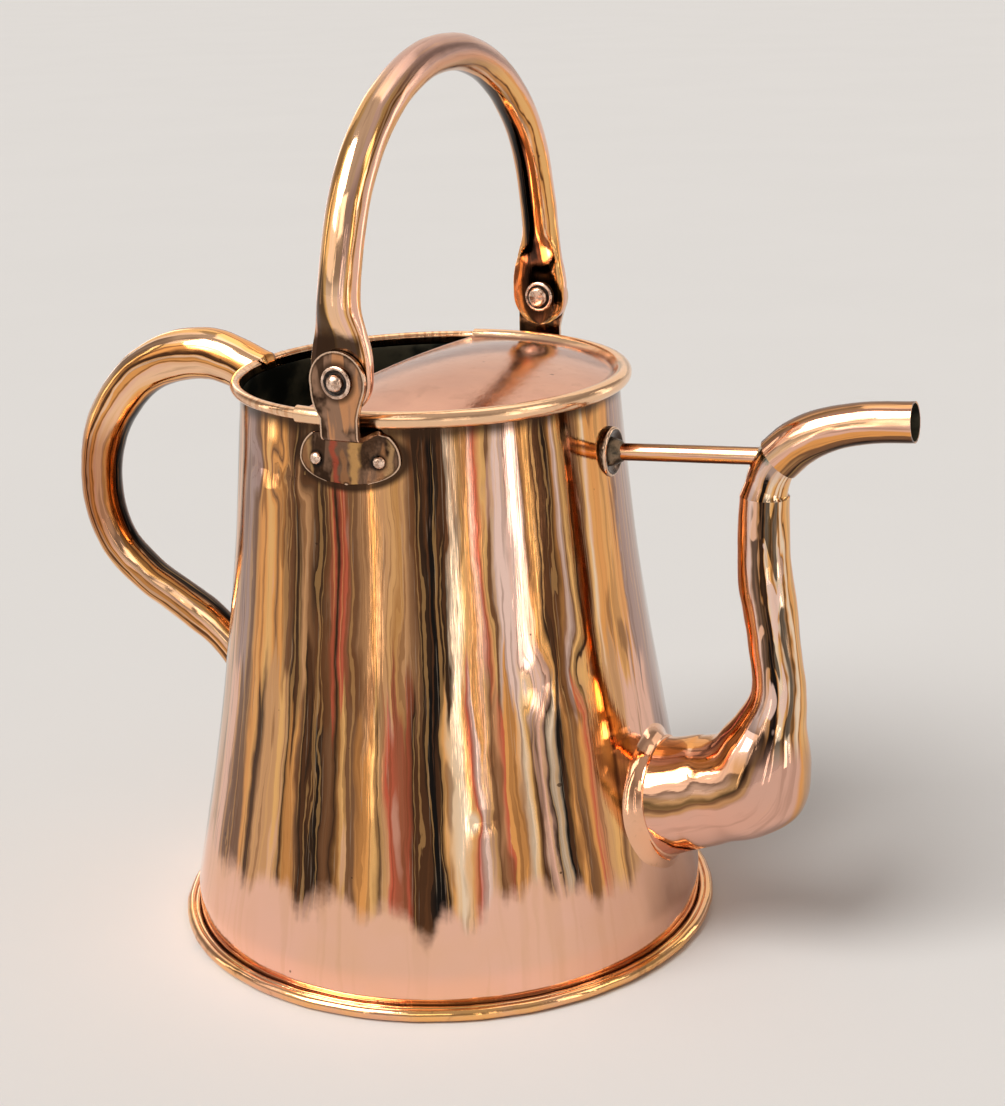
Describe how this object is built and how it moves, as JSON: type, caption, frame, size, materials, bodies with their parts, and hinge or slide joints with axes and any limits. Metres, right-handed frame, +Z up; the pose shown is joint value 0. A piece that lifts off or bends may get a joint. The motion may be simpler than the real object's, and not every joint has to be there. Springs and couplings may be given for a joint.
{
  "type": "watering can",
  "caption": "Flared copper watering can with a domed half hood, a swinging bail, a rear C handle and a rising spout held by a stay.",
  "frame": {"origin": "centre of the foot, on the surface that the can stands on", "axes": "+Z up, +X towards the spout's mouth, +Y to the can's left"},
  "size_m": [0.3851, 0.2346, 0.3732],
  "materials": {
    "polished_copper": "polished copper sheet, faintly dented, tarnished in its crevices",
    "handle_copper": "bright polished copper tube with soft hammer marks",
    "brown_copper": "oxidised brown copper with bright worn edges",
    "rivet_copper": "worn copper, dark round its edges",
    "iron_wire": "plain dark iron wire"
  },
  "bodies": {
    "can": {"body_shell": "polished_copper", "base_disc": "polished_copper", "rim_wire": "iron_wire", "hood": "polished_copper", "rear_handle": "handle_copper", "spout_collar": "polished_copper", "lower_spout": "polished_copper", "spout_knuckle": "polished_copper", "spout_nozzle": "handle_copper", "stay_rod": "handle_copper", "stay_flange": "brown_copper", "right_ear": "brown_copper", "right_rear_ear_rivet": "rivet_copper", "right_front_ear_rivet": "rivet_copper", "right_pivot_rivet": "rivet_copper", "right_outer_washer": "rivet_copper", "right_inner_washer": "rivet_copper", "left_ear": "brown_copper", "left_rear_ear_rivet": "rivet_copper", "left_front_ear_rivet": "rivet_copper", "left_pivot_rivet": "rivet_copper", "left_outer_washer": "rivet_copper", "left_inner_washer": "rivet_copper"},
    "bail_handle": {"bail": "handle_copper"}
  },
  "joints": [
    {"name": "bail_swing", "type": "hinge", "parent": "can", "child": "bail_handle", "pos_m": [0.0104, 0, 0.2532], "axis": [0, 1, 0], "range_deg": [-88.5, 103.5]}
  ]
}
